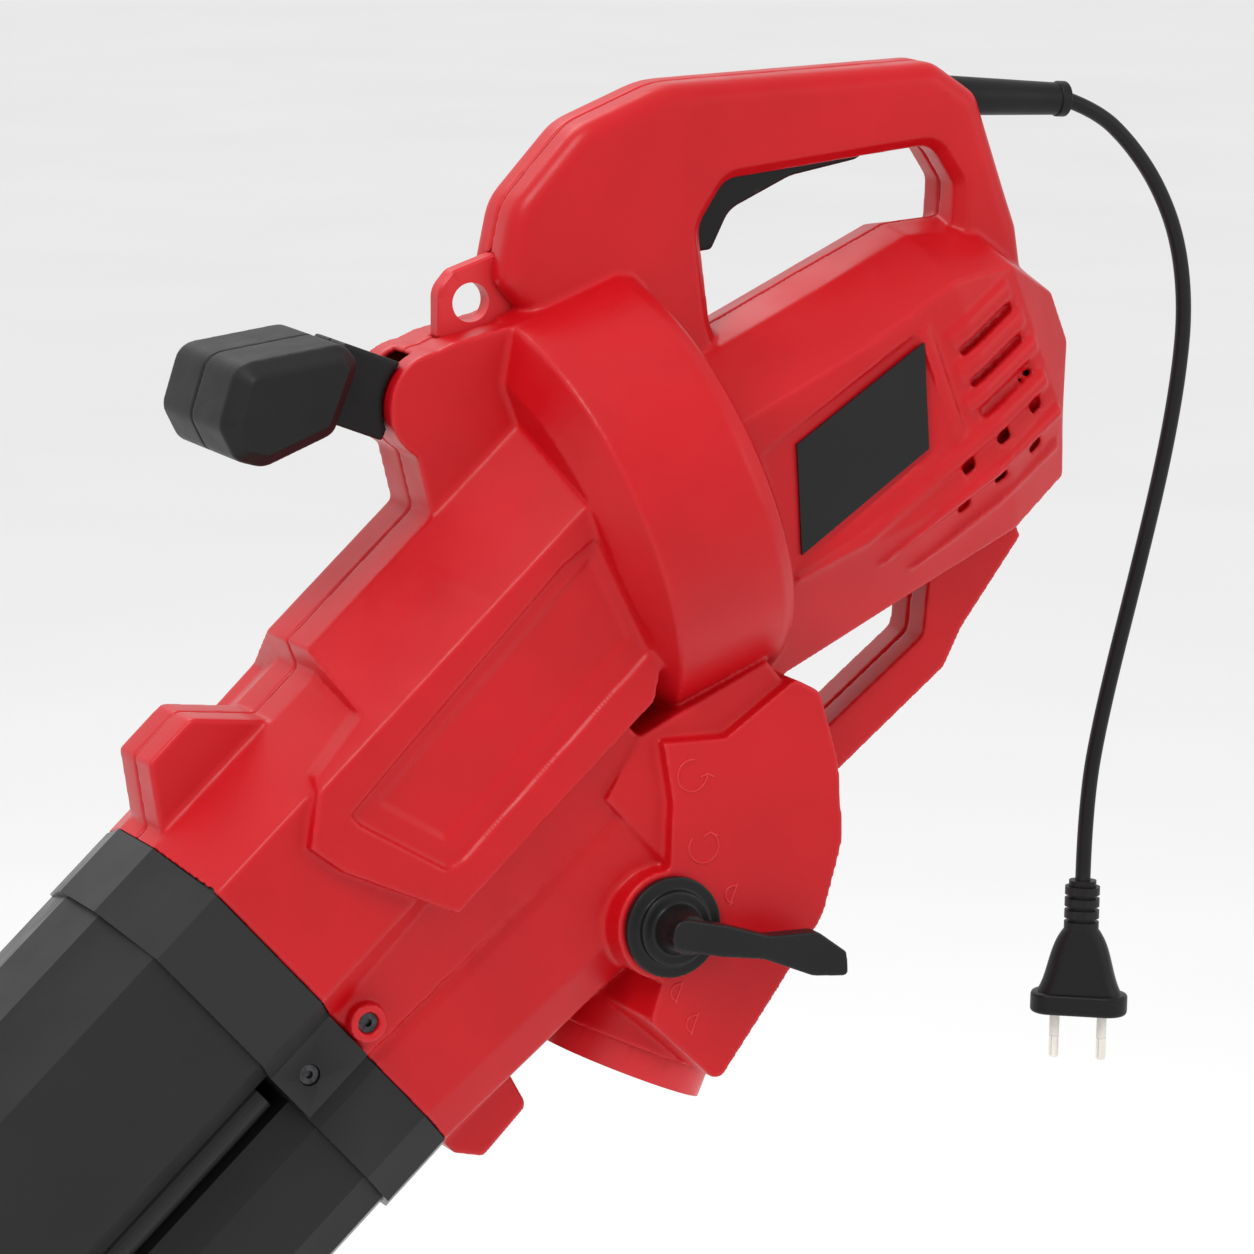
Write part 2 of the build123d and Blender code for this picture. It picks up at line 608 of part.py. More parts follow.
# ---- trigger and switch ----------------------------------------------------------------------------
trigger_face = make_face(FilletPolyline(*[(g, 0, n) for g, n in [
    (28.5, 11), (28.5, 4), (14, -2), (-14, -4), (-41, -13), (-50, -27), (-57, -27), (-60, -14), (-52, 4),
    (-44, 8)]],
    radius=[3, 3, 2, 20, 12, 2, 1.5, 4, 5, 3], close=True))
trigger = GRIP * soft_plate(trigger_face, TRIGGER_HALF, 1.2)
save("trigger", trigger - across(TRIGGER_PIN_R + RUN, -20, 20, TRIGGER_PIVOT))
save("trigger_pin", across(TRIGGER_PIN_R, -GRIP_HALF + 3.2, GRIP_HALF - 3.2, TRIGGER_PIVOT))
g0, g1, n0, n1 = SWITCH
PLUNGER = (-22.0, 3.0)   # place along the grip, radius
switch = grip_box(g0, g1, n0, n1, SWITCH_HALF)
plunger_axis = GRIP * Pos(PLUNGER[0], 0, 0)
switch -= plunger_axis * Pos(0, 0, n0 + 4) * Cylinder(PLUNGER[1] + RUN, 14)
save("switch_body", switch)
save("switch_plunger", plunger_axis * Pos(0, 0, 13.4) * Cylinder(PLUNGER[1], 8.0))


# ---- tilting front grip ----------------------------------------------------------------------------
AUX_GRIP = [
    (-247, 118, 9), (-212, 93, 7), (-213, 83, 6), (-238, 71, 7), (-266, 82, 9), (-272, 92, 7), (-268, 106, 8),
]
AUX_END = 7.0            # length of the grip's bevelled ends
AUX_WALL = 2.8
AUX_SCREWS = [(-256, 96), (-226, 90)]


def aux_grip_body(inset):
    face = offset(outline(AUX_GRIP), -inset)
    half = AUX_GRIP_HALF - AUX_END
    body = plate(face, -half, half)
    for side in (-1, 1):
        body += extrude(Pos(0, side * half, 0) * face, amount=AUX_END - inset, dir=(0, side, 0), taper=38)
    return body


def aux_stem():
    """The stem, square in front of the hump and a narrower neck and hub inside it."""
    place = Pos(PIVOT[0], 0, PIVOT[1]) * Rot(0, -AUX_STEM_ANGLE, 0)
    stem = place * Pos(30, 0, AUX_OFFSET) * Box(28, 2 * AUX_STEM_HALF, 30)
    stem -= across(HUMP_R + HUMP_GAP, -40, 40, PIVOT)
    neck = place * Pos(16, 0, 0) * Box(26, 2 * AUX_HUB_HALF, 15)
    return stem + neck + across(AUX_HUB_R, -AUX_HUB_HALF, AUX_HUB_HALF, PIVOT)


aux = aux_grip_body(0) - aux_grip_body(AUX_WALL) + aux_stem()
for place in AUX_SCREWS:
    aux += across(4.2, -AUX_GRIP_HALF + AUX_WALL, AUX_GRIP_HALF - AUX_WALL, place)
    aux -= across(SCREW_R + RUN, SCREW_SEAT - SCREW_LENGTH - 1, SCREW_SEAT + 1, place)
    aux -= across(SCREW_HEAD_R + 0.2, SCREW_SEAT, 60, place)
aux -= across(AUX_BOLT_R + RUN, -20, 20, PIVOT)
save("aux_grip_right", aux & half_space(1))
save("aux_grip_left", aux & half_space(-1))
save("aux_grip_screws", Compound([screw(place, SCREW_SEAT, SCREW_LENGTH) for place in AUX_SCREWS]))
save("aux_pivot_pin", across(AUX_BOLT_R, -NECK_HALF + 2.2, NECK_HALF - 2.2, PIVOT))


# ---- mode lever and flap ---------------------------------------------------------------------------
LEVER_FACE = CHUTE_HALF + 0.3    # back of the lever's disc, left of the split
LEVER_ARM = 69.0
FLAP_LENGTH = 42.0
FLAP_HALF = 40.0
FLAP_ANGLE = -66.0


def lever():
    x, z = LEVER_CENTRE
    place = Pos(x, 0, z) * Rot(0, -LEVER_ANGLE, 0)
    disc = across(LEVER_DISC_R, -LEVER_FACE - 3.6, -LEVER_FACE, LEVER_CENTRE)
    disc += across(LEVER_DISC_R - 5, -LEVER_FACE - 6.4, -LEVER_FACE - 3.6, LEVER_CENTRE)
    hub = Pos(x, -LEVER_FACE - 12, z) * Rot(90, 0, 0) * Cone(10, 7.5, 12)
    arm = make_face(FilletPolyline(*[(a, 0, b) for a, b in [
        (-8, 6), (14, 6), (32, 4.5), (52, 9), (LEVER_ARM - 3, 3), (LEVER_ARM, -6), (54, -8), (32, -4.5),
        (14, -6), (-8, -6)]], radius=[5, 8, 10, 5, 2, 2, 5, 10, 8, 5], close=True))
    return disc + hub + place * plate(arm, -LEVER_FACE - 20, -LEVER_FACE - 12)


save("mode_lever", lever() - across(SPINDLE_R + FIT, -LEVER_FACE - 5, -LEVER_FACE + 1, LEVER_CENTRE))
save("lever_spindle", across(SPINDLE_R, -LEVER_FACE - 4.8, CHUTE_HALF - 3.2, LEVER_CENTRE))
flap_place = Pos(LEVER_CENTRE[0], 0, LEVER_CENTRE[1]) * Rot(0, -FLAP_ANGLE, 0)
flap = flap_place * Pos(FLAP_LENGTH / 2, 0, 0) * Box(FLAP_LENGTH, 2 * FLAP_HALF, 2.4)
flap += across(SPINDLE_R + 2.4, -FLAP_HALF, FLAP_HALF, LEVER_CENTRE)
save("diverter_flap", flap - across(SPINDLE_R + FIT, -80, 80, LEVER_CENTRE))


# ---- motor -----------------------------------------------------------------------------------------
STACK = (24.0, 74.0)     # stator laminations, along the fan axis
FRONT_BEARING = 4.0
REAR_BEARING = 104.0
COMMUTATOR = (84.0, 97.0)
COMMUTATOR_R = 11.0
SHAFT_END = 114.0
BOLT_R = 2.0
BOLT_PLACE = 32.5
BACKPLATE = -16.0
NUT = (-64.0, -58.0)


def bolt_hole(radius, low, high):
    return Compound([
        FAN * Pos(side * BOLT_PLACE, 0, (low + high) / 2) * Cylinder(radius, high - low) for side in (-1, 1)])


def bracket(disc, pocket, bearing, inner):
    """A motor end bracket: a disc with a bearing pocket, and air holes round it."""
    solid = along(STATOR_R, disc, disc + 4) + along(BEARING_R + 3, pocket, pocket + BEARING_WIDTH + 2)
    solid -= along(BEARING_R + FIT / 2, bearing, bearing + BEARING_WIDTH)
    solid -= along(inner, pocket - 8, pocket + BEARING_WIDTH + 8)
    for k in range(6):
        turn = math.radians(60 * k + 30)
        solid -= FAN * Pos(24 * math.cos(turn), 24 * math.sin(turn), disc + 2) * Cylinder(5, 6)
    return solid - bolt_hole(BOLT_R + RUN, disc - 1, disc + 5)


def slotted(radius, bore, low, high, count, depth, width, outside):
    """A laminated ring with slots; outside says which side they open to."""
    solid = ring_on_axis(radius, bore, low, high)
    middle = radius - depth / 2 if outside else bore + depth / 2
    for k in range(count):
        place = Rot(0, 0, 360 / count * k) * Pos(middle, 0, (low + high) / 2)
        slot = place * Box(depth + 0.2, width, high - low + 2)
        solid -= FAN * slot
    return solid


stator = ring_on_axis(STATOR_R, BORE_R, *STACK)
coil_slots = Compound([FAN * Pos(0, side * 28, 49) * Box(24, 7, 60) for side in (-1, 1)])
save("stator_core", stator - coil_slots - bolt_hole(BOLT_R + RUN, STACK[0] - 1, STACK[1] + 1))
coils = [FAN * Pos(0, side * 28, 49) * Box(23.6, 6.6, 64) for side in (-1, 1)]
save("stator_windings", Compound(coils))
save("rotor_core", slotted(ROTOR_R, SHAFT_R + FIT, STACK[0] + 1, STACK[1] - 1, 12, 6, 3, True))
save("rotor_windings", Compound([
    ring_on_axis(17, SHAFT_R + FIT, STACK[0] - 4, STACK[0] + 0.9),
    ring_on_axis(17, SHAFT_R + FIT, STACK[1] - 0.9, STACK[1] + 6),
]))
save("commutator", slotted(COMMUTATOR_R, SHAFT_R + FIT, *COMMUTATOR, 22, 1.2, 0.6, True))
save("rotor_shaft", along(SHAFT_R, NUT[0] - 2, SHAFT_END))
bearing_seat = ring_on_axis(BEARING_R, SHAFT_R + RUN, FRONT_BEARING, FRONT_BEARING + BEARING_WIDTH)
save("front_bearing", bearing_seat)
save("rear_bearing", ring_on_axis(BEARING_R, SHAFT_R + RUN, REAR_BEARING, REAR_BEARING + BEARING_WIDTH))
save("motor_front_bracket", bracket(STACK[0] - 4 - 8, FRONT_BEARING - 1, FRONT_BEARING, SHAFT_R + 2))
save("motor_rear_bracket", bracket(REAR_BEARING - 5, REAR_BEARING - 1, REAR_BEARING, SHAFT_R + 2))
save("motor_bolts", bolt_hole(BOLT_R, STACK[0] - 12, REAR_BEARING + 2))


def turned_blades(count, inner, outer, low, high, thick, lean):
    """Blades standing on a fan's disc; lean is how far each turns away from the radius."""
    blades = []
    for k in range(count):
        place = Pos((inner + outer) / 2, 0, (low + high) / 2) * Rot(0, 0, lean)
        blade = place * Box(outer - inner, thick, high - low)
        blades.append(FAN * Rot(0, 0, 360 / count * k) * blade)
    return blades


impeller = along(IMPELLER_R, -22, -19) + along(14, -57.8, -19)
impeller = impeller.fuse(*turned_blades(10, 12, IMPELLER_R - 1, -46, -21, 2.2, 14))
save("impeller", impeller - along(SHAFT_R + FIT, -70, 0))
nut_blank = FAN * extrude(Plane.XY.offset(NUT[0]) * RegularPolygon(8.5, 6), amount=4.6)
save("impeller_nut", nut_blank - along(SHAFT_R + RUN, -70, 0))
save("impeller_washer", ring_on_axis(11, SHAFT_R + FIT, NUT[0] + 4.7, NUT[1] + 0.1))
save("fan_backplate", ring_on_axis(RING_R - WALL - FIT, SHAFT_R + 3, BACKPLATE, BACKPLATE + 3))
cooling = ring_on_axis(32, SHAFT_R + FIT, 1.0, 2.6).fuse(*turned_blades(12, 10, 31, -8, 1.4, 1.6, 0))
save("cooling_fan", cooling.fuse(along(11, -8, 2)) - along(SHAFT_R + FIT, -20, 10))
holders, brushes = [], []
for side in (-1, 1):
    middle = (COMMUTATOR[0] + COMMUTATOR[1]) / 2
    place = FAN * Pos(0, side * 23, middle)
    holders.append(place * (Pos(0, 0, 1.45) * Box(10, 20, 13.9) - Box(6.2, 24, 6.2)))
    brushes.append(FAN * Pos(0, side * 19, middle) * Box(6, 15, 6))
save("brush_holders", Compound(holders))
save("brushes", Compound(brushes))
capacitor_length = RIBS[1] - RIBS[0] - RIB - 2 * FIT
save("capacitor", FAN * Pos(-58, 0, (RIBS[0] + RIB + RIBS[1]) / 2) * Box(14, 30, capacitor_length))


# ---- mains lead ------------------------------------------------------------------------------------
# The lead hangs free from the sleeve in the carried pose: x, z of its route in the vertical plane.
ROUTE = [
    (98.5, -2.3), (113, -7.5), (128.5, -21.5), (141.5, -39.5), (150.5, -61), (154, -87), (152, -113),
    (146, -146), (136.5, -184), (118.5, -250), (112, -286), (111.3, -317),
]


def bend_radii(points):
    """Each corner's arc is as large as its two runs allow."""
    radii = []
    for before, here, after in zip(points, points[1:], points[2:]):
        first, second = Vector(*here) - Vector(*before), Vector(*after) - Vector(*here)
        half_turn = math.radians(first.get_angle(second)) / 2
        radii.append(0.45 * min(first.length, second.length) / math.tan(half_turn))
    return radii


route = [(x, 0, z) for x, z in ROUTE]
radii = bend_radii(route)
print("lead bend radii:", [round(r) for r in radii])
path = FilletPolyline(*route, radius=radii)
start = Vector(*route[1]) - Vector(*route[0])
cord = sweep(Plane(origin=route[0], z_dir=start) * Circle(CORD_R), path=path)
section_volume = path.length * math.pi * CORD_R ** 2
print(f"lead {path.length:.0f} mm, tube volume {cord.volume:.0f}, section x length {section_volume:.0f}")
save("power_cord", TIP_UP * cord)

LEAD_INSIDE = 53.0       # the lead runs on this far inside the grip, to the switch
LEAD_SHORT = 0.9         # and stops this far inside the sleeve's tip, where the free lead starts
bore = SLEEVE * Pos(0, 0, SLEEVE_LENGTH / 2) * Cylinder(CORD_R + FIT, SLEEVE_LENGTH + 20)
save("cord_sleeve", sleeve_shape(0) - bore)
inner_end = SLEEVE_LENGTH - LEAD_SHORT
inner_length = inner_end + LEAD_INSIDE
save("lead_inner", SLEEVE * Pos(0, 0, inner_end - inner_length / 2) * Cylinder(CORD_R, inner_length))


# ---- plug ------------------------------------------------------------------------------------------
PLUG_TURN = -34.0        # the plug's broad side faces this way
PLUG_TILT = 1.3
NECK = (14.0, 10.5, 21.0)
PLUG_BODY = (34.0, 15.0, 25.0)
PLUG_BASE = (39.0, 18.0, 8.6)
PIN_R = 2.0
PIN_LENGTH = 19.0
PIN_PITCH = 19.0
end_x, end_z = ROUTE[-1]
plug_frame = Pos(end_x, 0, end_z) * Rot(0, 180 + PLUG_TILT, 0) * Rot(0, 0, -PLUG_TURN)


def oval(width, depth, height):
    """A rounded outline across the plug at a height from its neck's end."""
    return Pos(0, 0, height) * RectangleRounded(width, depth, depth * 0.46)


neck = extrude(oval(NECK[0] - 3, NECK[1] - 2, 0), amount=NECK[2])
for ring in range(4):
    neck += extrude(oval(NECK[0], NECK[1], 2.5 + 4.8 * ring), amount=3.2)
body = loft([oval(NECK[0], NECK[1], NECK[2] - 1), oval(NECK[0] + 4, NECK[1] + 1, NECK[2] + 2),
             oval(PLUG_BODY[0] - 5, PLUG_BODY[1], NECK[2] + PLUG_BODY[2] - 6),
             oval(PLUG_BODY[0], PLUG_BODY[1], NECK[2] + PLUG_BODY[2])])
base = extrude(oval(PLUG_BASE[0], PLUG_BASE[1], NECK[2] + PLUG_BODY[2]), amount=PLUG_BASE[2])
base = fillet(base.edges().filter_by(Plane.XY), 1.6)
FACE = NECK[2] + PLUG_BODY[2] + PLUG_BASE[2]
plug = neck + body + base
SLEEVED = 10.0           # length of each pin that its insulating sleeve covers
pins, sleeves = [], []
for side in (-1, 1):
    place = Pos(side * PIN_PITCH / 2, 0, FACE)
    plug -= place * Cylinder(PIN_R - 0.4 + FIT, 24)
    pin = Pos(0, 0, SLEEVED / 2 - 6) * Cylinder(PIN_R - 0.4, SLEEVED + 12)
    pin += Pos(0, 0, (SLEEVED + PIN_LENGTH) / 2) * Cylinder(PIN_R, PIN_LENGTH - SLEEVED)
    pins.append(plug_frame * place * fillet(pin.edges().group_by(Axis.Z)[-1], 1.2))
    sleeve = Cylinder(PIN_R, SLEEVED - 0.2) - Cylinder(PIN_R - 0.4 + 0.02, SLEEVED)
    sleeves.append(plug_frame * place * Pos(0, 0, SLEEVED / 2) * sleeve)
save("plug_body", TIP_UP * (plug_frame * plug))
save("plug_pins", TIP_UP * Compound(pins))
save("pin_sleeves", TIP_UP * Compound(sleeves))


# ---- cord clamp ------------------------------------------------------------------------------------
CLAMP_TOP = CORD_R + FIT         # underside of the clamp's bridge, right of the split
CLAMP_THICK = 2.6
clamp = SLEEVE * Pos(0, 0, CLAMP_PLACE) * Box(CLAMP_PITCH + 4.4, 2 * CLAMP_THICK + 2 * CLAMP_TOP, 9)
clamp -= SLEEVE * Cylinder(CORD_R + FIT, 60)
clamp = clamp & (Pos(0, 50 + CLAMP_TOP / 4, 0) * Box(300, 100, 300))
clamp_screws = []
for side in (-1, 1):
    place = clamp_post(side)
    clamp -= across(CLAMP_SCREW_R + RUN, -5, 12, place)
    top = CLAMP_TOP + CLAMP_THICK
    clamp_screws.append(across(CLAMP_SCREW_R, top - 13, top, place) + across(2.8, top, top + 2, place))
save("cord_clamp", clamp)
save("clamp_screws", Compound(clamp_screws))
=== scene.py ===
"""Hand-held mains leaf blower: the finished look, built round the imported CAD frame.

Lengths are metres in the frame's axes unless a name ends in _mm.  The tool is drawn nozzle down, as it
is carried.  Points written (x, z) or (s, h) are millimetres in the tool's own plane or the fan's plane.
"""
import math

import bmesh
import bpy
from mathutils import Matrix, Vector


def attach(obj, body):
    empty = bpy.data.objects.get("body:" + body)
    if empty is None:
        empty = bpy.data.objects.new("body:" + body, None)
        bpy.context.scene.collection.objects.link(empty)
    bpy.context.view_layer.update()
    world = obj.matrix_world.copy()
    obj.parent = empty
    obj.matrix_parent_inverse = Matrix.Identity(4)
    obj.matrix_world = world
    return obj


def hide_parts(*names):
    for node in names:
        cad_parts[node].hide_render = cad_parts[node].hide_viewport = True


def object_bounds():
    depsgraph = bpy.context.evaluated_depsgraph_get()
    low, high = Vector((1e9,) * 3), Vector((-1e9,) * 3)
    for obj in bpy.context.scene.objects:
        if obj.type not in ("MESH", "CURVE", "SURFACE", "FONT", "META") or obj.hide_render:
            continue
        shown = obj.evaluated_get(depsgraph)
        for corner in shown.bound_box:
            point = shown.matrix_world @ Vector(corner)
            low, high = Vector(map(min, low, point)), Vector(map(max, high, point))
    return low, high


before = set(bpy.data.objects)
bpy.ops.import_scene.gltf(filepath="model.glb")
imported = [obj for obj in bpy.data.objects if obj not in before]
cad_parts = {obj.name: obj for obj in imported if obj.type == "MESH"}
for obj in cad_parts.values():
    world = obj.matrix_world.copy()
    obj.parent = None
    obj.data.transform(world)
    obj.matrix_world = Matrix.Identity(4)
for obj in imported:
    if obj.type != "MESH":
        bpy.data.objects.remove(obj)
cad_box = [list(corner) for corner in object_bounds()]


# ---- camera ----------------------------------------------------------------------------------------
# A long lens low on the operator's left, turned a quarter towards the nozzle.
CAMERA_TURN = math.radians(-25)
CAMERA_RISE = math.radians(11)
CAMERA_PLACE = Vector((-1.1275, -2.2241, 0.2799))

camera_right = Vector((math.cos(CAMERA_TURN), math.sin(CAMERA_TURN), 0))
camera_back = Vector((
    math.sin(CAMERA_TURN) * math.cos(CAMERA_RISE), -math.cos(CAMERA_TURN) * math.cos(CAMERA_RISE),
    math.sin(CAMERA_RISE),
))
camera_up = camera_back.cross(camera_right)
camera_data = bpy.data.cameras.new("camera")
camera_data.sensor_width = 36
camera_data.lens = 186.6
camera = bpy.data.objects.new("camera", camera_data)
bpy.context.scene.collection.objects.link(camera)
camera.matrix_world = Matrix.Translation(CAMERA_PLACE) @ Matrix(
    (camera_right, camera_up, camera_back)).transposed().to_4x4()
bpy.context.scene.camera = camera


# ---- mains lead ------------------------------------------------------------------------------------
# Round two-core lead with a soft black PVC sheath.  It leaves the sleeve at the back of the grip,
# bends over under its own weight and hangs to the plug.
LEAD_DIAMETER = 0.0062
LEAD_ROUTE_MM = [
    (98.5, -2.3), (113, -7.5), (128.5, -21.5), (141.5, -39.5), (150.5, -61), (154, -87), (152, -113),
    (146, -146), (136.5, -184), (118.5, -250), (112, -286), (111.3, -317),
]


def new_material(name, metallic=0.0):
    """A material with its node tree, shader and object coordinates."""
    material = bpy.data.materials.new(name)
    material.use_nodes = True
    tree = material.node_tree
    shader = tree.nodes["Principled BSDF"]
    shader.inputs["Metallic"].default_value = metallic
    coordinates = tree.nodes.new("ShaderNodeTexCoord")
    return material, tree, shader, coordinates.outputs["Object"]


def noise(tree, coordinates, scale, detail=2.0, stretch=(1, 1, 1)):
    """Noise on the object's own coordinates; scale is in cycles per metre."""
    mapping = tree.nodes.new("ShaderNodeMapping")
    mapping.inputs["Scale"].default_value = stretch
    tree.links.new(coordinates, mapping.inputs["Vector"])
    texture = tree.nodes.new("ShaderNodeTexNoise")
    texture.inputs["Scale"].default_value = scale
    texture.inputs["Detail"].default_value = detail
    tree.links.new(mapping.outputs["Vector"], texture.inputs["Vector"])
    return texture.outputs["Fac"]


def spread(tree, value, low, high, floor=0.3, ceiling=0.7):
    """Bring a texture's value between two numbers."""
    node = tree.nodes.new("ShaderNodeMapRange")
    node.inputs["From Min"].default_value = floor
    node.inputs["From Max"].default_value = ceiling
    node.inputs["To Min"].default_value = low
    node.inputs["To Max"].default_value = high
    tree.links.new(value, node.inputs["Value"])
    return node.outputs["Result"]


def tint(tree, value, dark, light):
    """Blend between two colours by a value from 0 to 1."""
    node = tree.nodes.new("ShaderNodeMix")
    node.data_type = "RGBA"
    node.inputs["A"].default_value = (*dark, 1)
    node.inputs["B"].default_value = (*light, 1)
    tree.links.new(value, node.inputs["Factor"])
    return node.outputs["Result"]


def bump(tree, shader, height, strength, distance):
    """Fine surface texture."""
    node = tree.nodes.new("ShaderNodeBump")
    node.inputs["Strength"].default_value = strength
    node.inputs["Distance"].default_value = distance
    tree.links.new(height, node.inputs["Height"])
    tree.links.new(node.outputs["Normal"], shader.inputs["Normal"])


def moulded(name, dark, light, edge, roughness, grain, depth, specular=0.5):
    """Moulded plastic: mottled colour, edges painted paler as a painted highlight, and a fine spark-eroded
    grain.
    """
    material, tree, shader, place = new_material(name)
    shader.inputs["Specular IOR Level"].default_value = specular
    mottle = spread(tree, noise(tree, place, 22, 3), 0, 1)
    body = tint(tree, mottle, dark, light)
    geometry = tree.nodes.new("ShaderNodeNewGeometry")
    # Painted highlight: sharp edges (high pointiness) are painted paler, towards the edge colour, in place
    # of the light caught on them.
    edge_highlight_mask = spread(tree, geometry.outputs["Pointiness"], 0, 0.55, 0.51, 0.6)
    mix = tree.nodes.new("ShaderNodeMix")
    mix.data_type = "RGBA"
    mix.inputs["B"].default_value = (*edge, 1)
    tree.links.new(edge_highlight_mask, mix.inputs["Factor"])
    tree.links.new(body, mix.inputs["A"])
    tree.links.new(mix.outputs["Result"], shader.inputs["Base Color"])
    tree.links.new(spread(tree, noise(tree, place, 60, 3), roughness - 0.05, roughness + 0.05),
                   shader.inputs["Roughness"])
    bump(tree, shader, noise(tree, place, grain, 1), 0.35, depth)
    return material


soft_black = moulded("soft_black_pvc", (0.005, 0.005, 0.0055), (0.008, 0.008, 0.009), (0.02, 0.02, 0.021),
                     0.44, 900, 0.00006, 0.22)

route = bpy.data.curves.new("mains_lead", "CURVE")
route.dimensions = "3D"
spline = route.splines.new("NURBS")
spline.points.add(len(LEAD_ROUTE_MM) - 1)
for point, (x, z) in zip(spline.points, LEAD_ROUTE_MM):
    point.co = (x / 1000, 0, z / 1000, 1)
spline.order_u = 3
spline.use_endpoint_u = True
spline.resolution_u = 24
route.bevel_depth = LEAD_DIAMETER / 2
route.bevel_resolution = 8
route.use_fill_caps = True
route.materials.append(soft_black)
lead = bpy.data.objects.new("mains_lead", route)
bpy.context.scene.collection.objects.link(lead)
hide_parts("power_cord")
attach(lead, "body")


# ---- plug and cord sleeve --------------------------------------------------------------------------
# Two-pin plug moulded on the lead, with a ribbed neck; round plated pins carry pale insulating
# sleeves.  The tapered sleeve at the grip is the same soft moulding.
def paint(node, material):
    """Give a CAD node's own mesh a finished material."""
    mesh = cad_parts[node].data
    mesh.materials.clear()
    mesh.materials.append(material)


def metal(name, dark, light, roughness, stretch=(1, 1, 1)):
    """Metal with fine drawn or turned marks."""
    material, tree, shader, place = new_material(name, 1.0)
    marks = noise(tree, place, 500, 4, stretch)
    tree.links.new(tint(tree, spread(tree, marks, 0, 1), dark, light), shader.inputs["Base Color"])
    tree.links.new(spread(tree, marks, roughness - 0.06, roughness + 0.08), shader.inputs["Roughness"])
    bump(tree, shader, marks, 0.1, 0.00003)
    return material


pale_sleeve = moulded("pale_pin_sleeve", (0.62, 0.60, 0.55), (0.72, 0.70, 0.64), (0.8, 0.78, 0.73),
                      0.4, 1500, 0.00002)
nickel = metal("plated_pins", (0.72, 0.66, 0.6), (0.9, 0.86, 0.8), 0.2, (1, 1, 0.1))
for node in ("plug_body", "cord_sleeve", "lead_inner"):
    paint(node, soft_black)
paint("plug_pins", nickel)
paint("pin_sleeves", pale_sleeve)


# ---- housing shells --------------------------------------------------------------------------------
# Two injection-moulded red shells meet on the centre plane.  Their outer faces carry a sunk panel,
# a framed field of louvres, long tapering rails over a cooling grid, and small raised signs by the
# mode lever.  Every edge is softened, as a moulding's is.
PITCH = math.radians(42.5)
FAN_DIP = math.radians(22)
FAN_CENTRE_MM = (-139, -54)
RAISED_HALF_MM = 63
LOUVRE_SLOPE = 0.23
SHELL_VOXEL = 0.0011
SHELL_TRIANGLES = 190000


def at(x, z, y):
    """Tool plane millimetres to a point of the frame."""
    return Vector((
        (x * math.cos(PITCH) - z * math.sin(PITCH)) / 1000, y / 1000,
        (x * math.sin(PITCH) + z * math.cos(PITCH)) / 1000,
    ))


def fan_plane(s, h):
    """Distance along the fan's axis and height over it, to tool plane millimetres."""
    x = FAN_CENTRE_MM[0] + s * math.cos(FAN_DIP) + h * math.sin(FAN_DIP)
    return x, FAN_CENTRE_MM[1] - s * math.sin(FAN_DIP) + h * math.cos(FAN_DIP)


def finish_mesh(build, name):
    """Turn a bmesh into an object at the origin, faces outward."""
    bmesh.ops.remove_doubles(build, verts=build.verts, dist=1e-6)
    bmesh.ops.recalc_face_normals(build, faces=build.faces)
    mesh = bpy.data.meshes.new(name)
    build.to_mesh(mesh)
    build.free()
    piece = bpy.data.objects.new(name, mesh)
    bpy.context.scene.collection.objects.link(piece)
    return piece


def close_rings(build, rings):
    """Skin a closed body over rings of the same number of corners."""
    build.faces.new(rings[0])
    build.faces.new(list(reversed(rings[-1])))
    for first, second in zip(rings, rings[1:]):
        for k in range(len(first)):
            after = (k + 1) % len(first)
            build.faces.new((first[k], first[after], second[after], second[k]))


def panel_block(corners, levels, side):
    """A block over a panel's corners (x, z, half width there); levels are (inset, height over the wall)."""
    build = bmesh.new()
    middle_x = sum(x for x, z, face in corners) / len(corners)
    middle_z = sum(z for x, z, face in corners) / len(corners)
    rings = []
    for inset, proud in levels:
        ring = []
        for x, z, face in corners:
            share = inset / math.hypot(middle_x - x, middle_z - z)
            ring.append(build.verts.new(at(
                x + (middle_x - x) * share, z + (middle_z - z) * share, side * (face + proud))))
        rings.append(ring)
    close_rings(build, rings)
    return finish_mesh(build, "panel_block")


def sunk_panel(corners, shrink, depth, side):
    """A cutter for a panel with sloping edges."""
    return panel_block(corners, ((-shrink * 2, depth * 2), (shrink, -depth)), side)


def motor_side(s, h):
    """Half width of the motor housing at a distance along the fan's axis and a height over it."""
    # distance, lower end of the upright side, its half width, bottom, half width there
    stations = [
        (-20, -48, 50, -86, 34), (66, -46, 51, -78, 32), (110, -42, 48, -75, 29), (138, -38, 41, -66, 24),
        (158, -16, 24, -30, 10),
    ]
    for before, after in zip(stations, stations[1:]):
        if s <= after[0]:
            share = (s - before[0]) / (after[0] - before[0])
            low, half, bottom, bottom_half = (a + (b - a) * share for a, b in zip(before[1:], after[1:]))
            slope = min(1, max(0, (low - h) / (low - bottom)))
            return half + (bottom_half - half) * slope
    return 10


def rail(side, stops, proud, sunk=6):
    """A bar that follows the motor housing's side; stops are (s, lower height, upper height)."""
    build = bmesh.new()
    rings = []
    for s, low, high in stops:
        quarter = (high - low) / 4
        ring = []
        for h, lift in ((low, -sunk), (low, proud * 0.4), (low + quarter, proud), (high - quarter, proud),
                        (high, proud * 0.4), (high, -sunk)):
            ring.append(build.verts.new(at(*fan_plane(s, h), side * (motor_side(s, h) + lift))))
        rings.append(ring)
    close_rings(build, rings)
    return finish_mesh(build, "rail")


def sloping(start, low, high, stations):
    """Stops of a bar that rises with the louvres from its height at start."""
    return [(s, low + LOUVRE_SLOPE * (s - start), high + LOUVRE_SLOPE * (s - start)) for s in stations]


